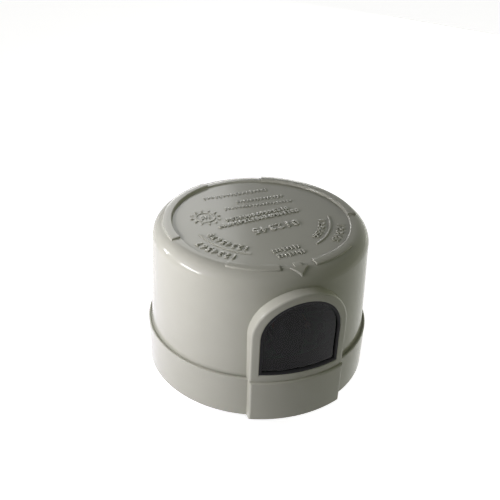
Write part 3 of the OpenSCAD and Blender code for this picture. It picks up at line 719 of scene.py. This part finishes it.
# %% Ring, and all marks as one piece
bpy.ops.object.select_all(action="DESELECT")
bpy.ops.mesh.primitive_torus_add(
    major_radius=RING_R, minor_radius=RING_WIRE_R, major_segments=48, minor_segments=10, location=(0, 0, 0)
)
lay(bpy.context.object, RING_X, RING_Y, 0.0)
only(marks[0])
for obj in marks:
    obj.select_set(True)
bpy.ops.object.join()
dial = bpy.context.object
dial.name = "dial_marks"
start_edit(dial)
bpy.ops.mesh.select_all(action="SELECT")
bpy.ops.mesh.remove_doubles(threshold=TINY)
turn_outwards()
end_edit()
only(dial)
bpy.ops.object.shade_smooth_by_angle(angle=MARK_ANGLE)
seat(dial)

# %% [markdown]
# ## Blades, relay and the other boxy pieces
# Stamped and moulded pieces never have knife edges. The CAD solids are right in shape, so each gets a copy
# whose triangles are merged into whole faces, and a bevel modifier rounds its edges.


# %% Rounded copies of CAD nodes
BLADE_ROUND, CASE_ROUND = 0.2 * MM, 0.25 * MM
MERGE_ANGLE, EDGE_ANGLE = math.radians(0.4), math.radians(40)


def rounded_copy(node, edge):
    """A copy of a CAD node with merged faces and rounded edges, which stands for the node."""
    obj = nodes[node].copy()
    obj.data = nodes[node].data.copy()
    for key in list(obj.keys()):
        del obj[key]
    obj.name = node + "_rounded"
    bpy.context.scene.collection.objects.link(obj)
    obj.parent = None
    obj.matrix_world = Matrix.Identity(4)
    start_edit(obj)
    bpy.ops.mesh.select_all(action="SELECT")
    bpy.ops.mesh.remove_doubles(threshold=TINY)
    bpy.ops.mesh.dissolve_limited(angle_limit=MERGE_ANGLE)
    end_edit()
    only(obj)
    bpy.ops.mesh.customdata_custom_splitnormals_clear()
    limit = {"limit_method": "ANGLE", "angle_limit": EDGE_ANGLE}
    put_on(obj, "BEVEL", width=edge, segments=3, miter_outer="MITER_ARC", **limit)
    tidy_shading(obj)
    return obj


BLADES = ("neutral_blade", "line_blade", "load_blade")
CASES = {"relay": "relay_case", "dropper_capacitor": "film_case", "sensor_stand": "stand_plastic"}
for node in BLADES:
    seat(rounded_copy(node, BLADE_ROUND), [node])
for node, slot in CASES.items():
    seat(rounded_copy(node, CASE_ROUND), [node])

# %% [markdown]
# ## Finishes
# Three effects are used by many materials, so each is a node group: the skin of a moulding (soft clouds of
# tone and a fine grain), the drawn lines of metal, and a slab that tells a component's body from its leads.
# The groups only put out values. The Principled shader and its plain settings stay in each material.


# %% Node helpers and the moulded skin
def new_group(name, inputs, outputs):
    """An empty shader group with named sockets; returns it with its two end nodes."""
    group = bpy.data.node_groups.new(name, "ShaderNodeTree")
    for label, kind, value in inputs:
        socket = group.interface.new_socket(name=label, in_out="INPUT", socket_type=kind)
        if value is not None:
            socket.default_value = value
    for label in outputs:
        group.interface.new_socket(name=label, in_out="OUTPUT", socket_type="NodeSocketFloat")
    return group, group.nodes.new("NodeGroupInput"), group.nodes.new("NodeGroupOutput")


def node_in(tree, kind, settings=None, **values):
    """A new node with settings on the node and values on its sockets."""
    node = tree.nodes.new(kind)
    for name, value in (settings or {}).items():
        setattr(node, name, value)
    for name, value in values.items():
        node.inputs[name.replace("_", " ")].default_value = value
    return node


VECTOR, FLOAT = "NodeSocketVector", "NodeSocketFloat"
skin, skin_in, skin_out = new_group(
    "moulded_skin",
    [("Vector", VECTOR, None), ("Cloud Scale", FLOAT, 60.0), ("Grain Scale", FLOAT, 4000.0)],
    ["Tone", "Grain"],
)
clouds = node_in(skin, "ShaderNodeTexNoise", Detail=4.0, Roughness=0.55)
grain = node_in(skin, "ShaderNodeTexNoise", Detail=2.0, Roughness=0.5)
skin.links.new(skin_in.outputs["Vector"], clouds.inputs["Vector"])
skin.links.new(skin_in.outputs["Cloud Scale"], clouds.inputs["Scale"])
skin.links.new(skin_in.outputs["Vector"], grain.inputs["Vector"])
skin.links.new(skin_in.outputs["Grain Scale"], grain.inputs["Scale"])
skin.links.new(clouds.outputs["Fac"], skin_out.inputs["Tone"])
skin.links.new(grain.outputs["Fac"], skin_out.inputs["Grain"])
print("group", skin.name, "with", len(skin.nodes), "nodes")

# %% Drawn metal and the slab
drawn, drawn_in, drawn_out = new_group(
    "drawn_metal", [("Vector", VECTOR, None), ("Stretch", VECTOR, (900.0, 900.0, 30.0))], ["Tone", "Grain"]
)
stretch = node_in(drawn, "ShaderNodeVectorMath", {"operation": "MULTIPLY"})
streaks = node_in(drawn, "ShaderNodeTexNoise", Scale=1.0, Detail=5.0, Roughness=0.6)
tarnish = node_in(drawn, "ShaderNodeTexNoise", Scale=180.0, Detail=4.0, Roughness=0.6)
drawn.links.new(drawn_in.outputs["Vector"], stretch.inputs[0])
drawn.links.new(drawn_in.outputs["Stretch"], stretch.inputs[1])
drawn.links.new(stretch.outputs["Vector"], streaks.inputs["Vector"])
drawn.links.new(drawn_in.outputs["Vector"], tarnish.inputs["Vector"])
drawn.links.new(tarnish.outputs["Fac"], drawn_out.inputs["Tone"])
drawn.links.new(streaks.outputs["Fac"], drawn_out.inputs["Grain"])

UP, ALONG_Y, ALONG_X = (0.0, 0.0, 1.0), (0.0, 1.0, 0.0), (1.0, 0.0, 0.0)
slab, slab_in, slab_out = new_group(
    "slab",
    [("Vector", VECTOR, None), ("Axis", VECTOR, UP), ("Centre", FLOAT, 0.0), ("Half", FLOAT, MM)],
    ["Inside"],
)
along = node_in(slab, "ShaderNodeVectorMath", {"operation": "DOT_PRODUCT"})
away = node_in(slab, "ShaderNodeMath", {"operation": "SUBTRACT"})
size = node_in(slab, "ShaderNodeMath", {"operation": "ABSOLUTE"})
inside = node_in(slab, "ShaderNodeMath", {"operation": "LESS_THAN"})
slab.links.new(slab_in.outputs["Vector"], along.inputs[0])
slab.links.new(slab_in.outputs["Axis"], along.inputs[1])
slab.links.new(along.outputs["Value"], away.inputs[0])
slab.links.new(slab_in.outputs["Centre"], away.inputs[1])
slab.links.new(away.outputs["Value"], size.inputs[0])
slab.links.new(size.outputs["Value"], inside.inputs[0])
slab.links.new(slab_in.outputs["Half"], inside.inputs[1])
slab.links.new(inside.outputs["Value"], slab_out.inputs["Inside"])
print("groups:", [g.name for g in bpy.data.node_groups])


# %% One function for most finishes
def linear(r, g, b):
    """A colour given as on a screen, 0 to 255, for Blender's linear sockets."""

    def part(v):
        v /= 255
        return v / 12.92 if v <= 0.04045 else ((v + 0.055) / 1.055) ** 2.4

    return (part(r), part(g), part(b), 1.0)


def new_material(name):
    """An empty material with its Principled shader and Object coordinates."""
    material = bpy.data.materials.new(name)
    material.use_nodes = True
    tree = material.node_tree
    tree.nodes.clear()
    out = tree.nodes.new("ShaderNodeOutputMaterial")
    shader = tree.nodes.new("ShaderNodeBsdfPrincipled")
    tree.links.new(shader.outputs["BSDF"], out.inputs["Surface"])
    coords = tree.nodes.new("ShaderNodeTexCoord")
    return material, tree, shader, coords.outputs["Object"]


def group_node(tree, group, vector, **values):
    """A group placed in a material with its own values."""
    node = node_in(tree, "ShaderNodeGroup", {"node_tree": group}, **values)
    tree.links.new(vector, node.inputs["Vector"])
    return node


def mixed(tree, factor, first, second):
    """The colour between two colours or colour sockets."""
    mix = node_in(tree, "ShaderNodeMix", {"data_type": "RGBA"})
    tree.links.new(factor, mix.inputs[0])
    for socket, value in ((mix.inputs[6], first), (mix.inputs[7], second)):
        if isinstance(value, tuple):
            socket.default_value = value
        else:
            tree.links.new(value, socket)
    return mix.outputs[2]


def ranged(tree, value, low, high):
    """A value between 0 and 1 taken to another range."""
    node = node_in(tree, "ShaderNodeMapRange", To_Min=low, To_Max=high)
    tree.links.new(value, node.inputs["Value"])
    return node.outputs["Result"]


def bumped(tree, height, shader, strength, distance):
    """A fine relief from a height."""
    bump = node_in(tree, "ShaderNodeBump", Strength=strength, Distance=distance)
    tree.links.new(height, bump.inputs["Height"])
    tree.links.new(bump.outputs["Normal"], shader.inputs["Normal"])


def finish(name, dark, light, rough, group=None, bump=(0.1, 0.05 * MM), plain=None, **values):
    """A material with clouds of tone, a roughness that follows them, and a fine relief."""
    material, tree, shader, vector = new_material(name)
    look = group_node(tree, group or skin, vector, **values)
    colour = mixed(tree, look.outputs["Tone"], linear(*dark), linear(*light))
    tree.links.new(colour, shader.inputs["Base Color"])
    tree.links.new(ranged(tree, look.outputs["Tone"], *rough), shader.inputs["Roughness"])
    bumped(tree, look.outputs["Grain"], shader, *bump)
    for socket, value in (plain or {}).items():
        shader.inputs[socket].default_value = value
    return material


def coat(material, *objects):
    """Give objects this one material."""
    for obj in objects:
        if not obj.material_slots:
            obj.data.materials.append(material)
        for place in obj.material_slots:
            place.material = material


# %% Housing, base, gasket and blades
METAL = {"Metallic": 1.0}
housing_plastic = finish(
    "housing_plastic", (145, 147, 127), (154, 156, 136), (0.14, 0.2), bump=(0.05, 0.02 * MM),
    plain={"Specular IOR Level": 0.2}, Cloud_Scale=45.0, Grain_Scale=2600.0,
)
coat(housing_plastic, housing, dial)
# A near-black matte finish for the bead that fills the corner round the pane.
black_bead_finish = finish(
    "black_bead", (8, 8, 8), (14, 14, 14), (0.5, 0.65),
    plain={"Specular IOR Level": 0.15}, Cloud_Scale=300.0,
)
coat(black_bead_finish, bead)
base_plastic = finish(
    "base_plastic", (34, 34, 34), (46, 46, 46), (0.42, 0.55), bump=(0.15, 0.06 * MM), Grain_Scale=3000.0
)
coat(base_plastic, nodes["base"])
gasket_foam = finish(
    "gasket_foam", (22, 22, 23), (36, 36, 37), (0.75, 0.95), bump=(0.6, 0.2 * MM),
    Cloud_Scale=120.0, Grain_Scale=1500.0,
)
coat(gasket_foam, nodes["gasket"])
brass = finish(
    "stamped_brass", (186, 150, 84), (222, 190, 120), (0.42, 0.24),
    group=drawn, bump=(0.12, 0.04 * MM), plain=METAL,
)
coat(brass, *[bpy.data.objects[node + "_rounded"] for node in BLADES])
steel = finish(
    "zinc_steel", (150, 152, 156), (196, 198, 202), (0.38, 0.22),
    group=drawn, bump=(0.1, 0.03 * MM), plain=METAL,
)
coat(steel, nodes["board_screws"])
solder = finish(
    "solder", (160, 162, 166), (206, 208, 210), (0.34, 0.2),
    bump=(0.2, 0.1 * MM), plain=METAL, Cloud_Scale=700.0,
)
coat(solder, nodes["solder_joints"])
print("materials so far:", len(bpy.data.materials))

# %% [markdown]
# ## The smoked pane's material
# Smoked plastic lets a little light through and takes most of it away. The shader's own transmission does
# this with a dark grey colour, which acts once at the front and once at the back.

# %% Pane material
SMOKE_IOR = 1.22
smoke, tree, shader, vector = new_material("smoked_pane")
look = group_node(tree, skin, vector, Cloud_Scale=70.0, Grain_Scale=900.0)
tint = mixed(tree, look.outputs["Tone"], linear(84, 90, 85), linear(94, 100, 95))
tree.links.new(tint, shader.inputs["Base Color"])
tree.links.new(ranged(tree, look.outputs["Tone"], 0.03, 0.07), shader.inputs["Roughness"])
shader.inputs["Transmission Weight"].default_value = 1.0
shader.inputs["IOR"].default_value = SMOKE_IOR
coat(smoke, pane)

# %% [markdown]
# ## The circuit's finishes
# Each component is one solid with its leads. The slab group marks the body, and what is outside it gets the
# look of tinned wire. More slabs give the colour bands and stripes that such parts have.


# %% Components
TINNED, REACH = linear(188, 189, 192), 100 * MM


def component(name, obj, dark, light, rough, axis, centre, half, bands=()):
    """Body and leads in one material: the body lies inside a slab, and bands are thinner slabs on it."""
    material, tree, shader, vector = new_material(name)
    look = group_node(tree, skin, vector, Cloud_Scale=260.0, Grain_Scale=3500.0)
    colour = mixed(tree, look.outputs["Tone"], linear(*dark), linear(*light))
    for place, half_width, paint in bands:
        band = group_node(tree, slab, vector, Axis=axis, Centre=place, Half=half_width)
        colour = mixed(tree, band.outputs["Inside"], colour, linear(*paint))
    body = group_node(tree, slab, vector, Axis=axis, Centre=centre, Half=half)
    colour = mixed(tree, body.outputs["Inside"], TINNED, colour)
    tree.links.new(colour, shader.inputs["Base Color"])
    tree.links.new(ranged(tree, body.outputs["Inside"], 1.0, 0.0), shader.inputs["Metallic"])
    tree.links.new(ranged(tree, look.outputs["Tone"], *rough), shader.inputs["Roughness"])
    bumped(tree, look.outputs["Grain"], shader, 0.12, 0.05 * MM)
    coat(material, obj)


def above_board(gap=0.0):
    """Centre and half of a slab that starts a gap above the board and reaches past every component."""
    return BOARD_Z1 + gap + REACH, REACH


def middle(node, axis):
    """Centre of a node's box along an axis."""
    low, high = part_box(node)
    return (low[axis] + high[axis]) / 2


LID_JOINT, ARRESTER_LEAD, BARE_TIN = 3.2 * MM, 3.5 * MM, (170, 172, 176)
lid_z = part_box("relay")[1].z - LID_JOINT
component(
    "relay_case", bpy.data.objects["relay_rounded"], (26, 27, 30), (36, 37, 41), (0.4, 0.5), UP,
    *above_board(), bands=[(lid_z, 0.12 * MM, (70, 72, 76))],
)
component(
    "film_case", bpy.data.objects["dropper_capacitor_rounded"], (196, 150, 30), (208, 164, 44), (0.42, 0.52),
    UP, *above_board(),
)
component(
    "arrester_coating", nodes["surge_arrester"], (28, 66, 142), (38, 80, 160), (0.25, 0.38), UP,
    *above_board(ARRESTER_LEAD),
)
can_top, delay_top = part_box("smoothing_capacitor")[1].z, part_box("delay_capacitor")[1].z
component(
    "can_sleeve", nodes["smoothing_capacitor"], (24, 26, 34), (32, 34, 44), (0.22, 0.32), UP,
    *above_board(), bands=[(can_top, 0.4 * MM, BARE_TIN)],
)
component(
    "delay_sleeve", nodes["delay_capacitor"], (26, 34, 62), (34, 44, 78), (0.22, 0.32), UP,
    *above_board(), bands=[(delay_top, 0.3 * MM, BARE_TIN)],
)
print("standing components done, materials:", len(bpy.data.materials))

# %% Lying components, sensor and stand
DROPPER_L, RESISTOR_L, DIODE_L, ZENER_L = 11.0 * MM, 6.3 * MM, 5.2 * MM, 4.0 * MM
TRANSISTOR_LEAD, SENSOR_L = 2 * MM, 9.2 * MM
BROWN, BLACK, GOLD = (120, 72, 34), (20, 20, 20), (176, 146, 60)


def lying(name, node, dark, light, rough, axis, length, band_half, bands):
    """A component whose body lies along an axis, with bands at distances in mm from its middle."""
    centre = middle(node, axis.index(1.0))
    places = [(centre + at * MM, band_half, paint) for at, paint in bands]
    component(name, nodes[node], dark, light, rough, axis, centre, length / 2, places)


lying(
    "dropper_coating", "dropper_resistor", (104, 136, 150), (118, 150, 162), (0.35, 0.48), ALONG_X, DROPPER_L,
    0.45 * MM, [(-3.6, BROWN), (-1.8, BLACK), (0, (150, 40, 34)), (3.6, GOLD)],
)
lying(
    "resistor_coating", "resistors", (196, 170, 122), (208, 182, 136), (0.3, 0.42), ALONG_Y, RESISTOR_L,
    0.3 * MM, [(-2.2, (96, 56, 30)), (-1.1, BLACK), (0, (196, 110, 30)), (2.2, GOLD)],
)
lying(
    "diode_moulding", "rectifier_diodes", (24, 24, 25), (34, 34, 35), (0.42, 0.55), ALONG_Y, DIODE_L,
    0.4 * MM, [(1.8, (196, 197, 200))],
)
lying(
    "zener_glass", "zener_diode", (168, 88, 40), (188, 104, 52), (0.12, 0.2), ALONG_Y, ZENER_L,
    0.35 * MM, [(1.3, BLACK)],
)
component(
    "transistor_moulding", nodes["transistor"], (24, 24, 25), (34, 34, 35), (0.42, 0.55), UP,
    *above_board(TRANSISTOR_LEAD),
)
sensor_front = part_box("light_sensor")[0].y
component(
    "sensor_resin", nodes["light_sensor"], (40, 30, 42), (50, 38, 52), (0.08, 0.14), ALONG_Y,
    sensor_front, SENSOR_L,
)
stand_plastic = finish("stand_plastic", (26, 26, 27), (36, 36, 37), (0.45, 0.58), bump=(0.15, 0.06 * MM))
coat(stand_plastic, bpy.data.objects["sensor_stand_rounded"])
print("all components done, materials:", len(bpy.data.materials))

# %% [markdown]
# ## The circuit board
# The board is glass-fibre laminate under green solder mask. Copper tracks show through the mask as lighter,
# slightly raised lines. Cells with square distances look much like routed tracks.

# %% Board material
laminate, tree, shader, vector = new_material("board_laminate")
look = group_node(tree, skin, vector, Cloud_Scale=140.0, Grain_Scale=5000.0)
green = mixed(tree, look.outputs["Tone"], linear(14, 84, 48), linear(20, 98, 58))
SQUARE_CELLS, TRACK_W = {"distance": "MANHATTAN", "feature": "DISTANCE_TO_EDGE"}, 0.12
cells = node_in(tree, "ShaderNodeTexVoronoi", SQUARE_CELLS, Scale=170.0)
tree.links.new(vector, cells.inputs["Vector"])
track = node_in(tree, "ShaderNodeMath", {"operation": "LESS_THAN"})
tree.links.new(cells.outputs["Distance"], track.inputs[0])
track.inputs[1].default_value = TRACK_W
tree.links.new(mixed(tree, track.outputs["Value"], green, linear(44, 134, 84)), shader.inputs["Base Color"])
tree.links.new(ranged(tree, look.outputs["Tone"], 0.3, 0.42), shader.inputs["Roughness"])
bumped(tree, track.outputs["Value"], shader, 0.25, 0.04 * MM)
coat(laminate, nodes["circuit_board"])

# %% [markdown]
# ## Floor and world
# A pale floor carries the shadow, and the world gives a low, even and slightly warm fill. Towards the
# camera, and in gloss and glass, the world and the floor read as white.

# %% Floor and world
bpy.ops.object.select_all(action="DESELECT")
FLOOR_LEVEL, FLOOR_SIZE, FLOOR_GLOW = cad_box[0].z, 6.0, 0.87
bpy.ops.mesh.primitive_plane_add(size=FLOOR_SIZE, location=(0, 0, FLOOR_LEVEL))
floor = bpy.context.object
floor.name = "floor"
paper, tree, shader, vector = new_material("paper_floor")
look = group_node(tree, skin, vector, Cloud_Scale=8.0, Grain_Scale=900.0)
pale = mixed(tree, look.outputs["Tone"], linear(236, 236, 236), linear(240, 240, 240))
tree.links.new(pale, shader.inputs["Base Color"])
shader.inputs["Roughness"].default_value = 0.9
shader.inputs["Specular IOR Level"].default_value = 0.1


def seen(tree):
    """1 for rays of the camera, of gloss and of glass, and 0 for diffuse light."""
    rays = tree.nodes.new("ShaderNodeLightPath")
    first = node_in(tree, "ShaderNodeMath", {"operation": "MAXIMUM"})
    second = node_in(tree, "ShaderNodeMath", {"operation": "MAXIMUM"})
    tree.links.new(rays.outputs["Is Camera Ray"], first.inputs[0])
    tree.links.new(rays.outputs["Is Glossy Ray"], first.inputs[1])
    tree.links.new(first.outputs["Value"], second.inputs[0])
    tree.links.new(rays.outputs["Is Transmission Ray"], second.inputs[1])
    return second.outputs["Value"]


shader.inputs["Emission Color"].default_value = (1.0, 1.0, 1.0, 1.0)
tree.links.new(ranged(tree, seen(tree), 0.0, FLOOR_GLOW), shader.inputs["Emission Strength"])
coat(paper, floor)

FILL, WARM = 0.07, (1.0, 1.0, 0.88)
world = bpy.data.worlds.new("studio")
bpy.context.scene.world = world
world.use_nodes = True
tree = world.node_tree
tree.nodes.clear()
sky_out = tree.nodes.new("ShaderNodeOutputWorld")
sky = tree.nodes.new("ShaderNodeBackground")
white = seen(tree)
tree.links.new(mixed(tree, white, (*WARM, 1.0), (1.0, 1.0, 1.0, 1.0)), sky.inputs["Color"])
tree.links.new(ranged(tree, white, FILL, 1.0), sky.inputs["Strength"])
tree.links.new(sky.outputs["Background"], sky_out.inputs["Surface"])
print("floor at", round(FLOOR_LEVEL / MM, 2), "mm, fill", FILL)

# %% [markdown]
# ## Camera
# The camera's place was worked out from the outline of the skirt, the window and the recess in the
# photograph. The image is square, so the focal length and the shift follow from the sensor's width.

# %% Camera
CAM_TARGET, CAM_DISTANCE = Vector((0, 0, 20 * MM)), 280 * MM
CAM_AZIMUTH, CAM_ELEVATION, CAM_ROLL = math.radians(-21.75), math.radians(33.14), math.radians(2.78)
SENSOR_W, LENS, SHIFT_X, SHIFT_Y = 36.0, 52.59, -0.0167, 0.0705
level = math.cos(CAM_ELEVATION)
back = Vector((math.sin(CAM_AZIMUTH) * level, -math.cos(CAM_AZIMUTH) * level, math.sin(CAM_ELEVATION)))
right = Vector((math.cos(CAM_AZIMUTH), math.sin(CAM_AZIMUTH), 0))
up = back.cross(right)
turned_right = math.cos(CAM_ROLL) * right + math.sin(CAM_ROLL) * up
turned_up = math.cos(CAM_ROLL) * up - math.sin(CAM_ROLL) * right
camera_data = bpy.data.cameras.new("camera")
camera = bpy.data.objects.new("camera", camera_data)
bpy.context.scene.collection.objects.link(camera)
turn = Matrix((turned_right, turned_up, back)).transposed().to_4x4()
camera.matrix_world = Matrix.Translation(CAM_TARGET + CAM_DISTANCE * back) @ turn
camera_data.sensor_width, camera_data.lens = SENSOR_W, LENS
camera_data.shift_x, camera_data.shift_y = SHIFT_X, SHIFT_Y
camera_data.clip_start, camera_data.clip_end = 0.01, 20.0
bpy.context.scene.camera = camera
print("camera at", [round(v / MM, 1) for v in camera.location])

# %% [markdown]
# ## Lamps
# The photograph was lit from the left. A soft key lamp stands close by, a second one near the floor reaches
# the skirt, and two weak fills open the shadow on the right and at the back. They give no mirror images.
# Four more lamps are seen only in the gloss: a long and a short one make the two bright streaks on the
# shoulder, one lays a sheen on the left of the recess, and one draws the edges of the pads.


# %% Lamps
LAMP_AIM, COOL = Vector((0, 0, 25 * MM)), (0.86, 0.81, 1.0)


def lamp(name, side, distance, height, size, power):
    """A lamp that faces the housing, with lengths in mm; side is its angle from the camera's direction."""
    data = bpy.data.lights.new(name, "AREA")
    data.shape, data.energy = "RECTANGLE", power
    data.size, data.size_y = size[0] * MM, size[1] * MM
    obj = bpy.data.objects.new(name, data)
    bpy.context.scene.collection.objects.link(obj)
    angle = math.radians(side) + CAM_AZIMUTH
    away = distance * MM
    obj.location = (away * math.sin(angle), -away * math.cos(angle), height * MM)
    obj.rotation_euler = (LAMP_AIM - obj.location).to_track_quat("-Z", "Y").to_euler()
    obj.visible_camera = False
    return obj


key_lamp = lamp("key_lamp", -60, 140, 98, (120, 60), 0.305)
low_key = lamp("low_key", -62, 300, 0, (200, 30), 0.5)
key_lamp.data.color = low_key.data.color = COOL
right_fill = lamp("right_fill", 95, 600, 260, (400, 160), 0.8)
rear_fill = lamp("rear_fill", 150, 600, 30, (400, 160), 1.5)
right_fill.data.color = rear_fill.data.color = WARM
for soft in (key_lamp, low_key, right_fill, rear_fill):
    soft.visible_glossy = False
long_glint = lamp("long_glint", -68, 350, 100, (140, 34), 0.78)
short_glint = lamp("short_glint", -101, 350, 80, (30, 30), 0.22)
back_sheen = lamp("back_sheen", -158, 450, 290, (300, 180), 0.5)
edge_glint = lamp("edge_glint", -171, 500, 160, (300, 80), 0.5)
for glint in (long_glint, short_glint, back_sheen, edge_glint):
    glint.visible_diffuse = False
bpy.context.scene.view_settings.view_transform = "Standard"
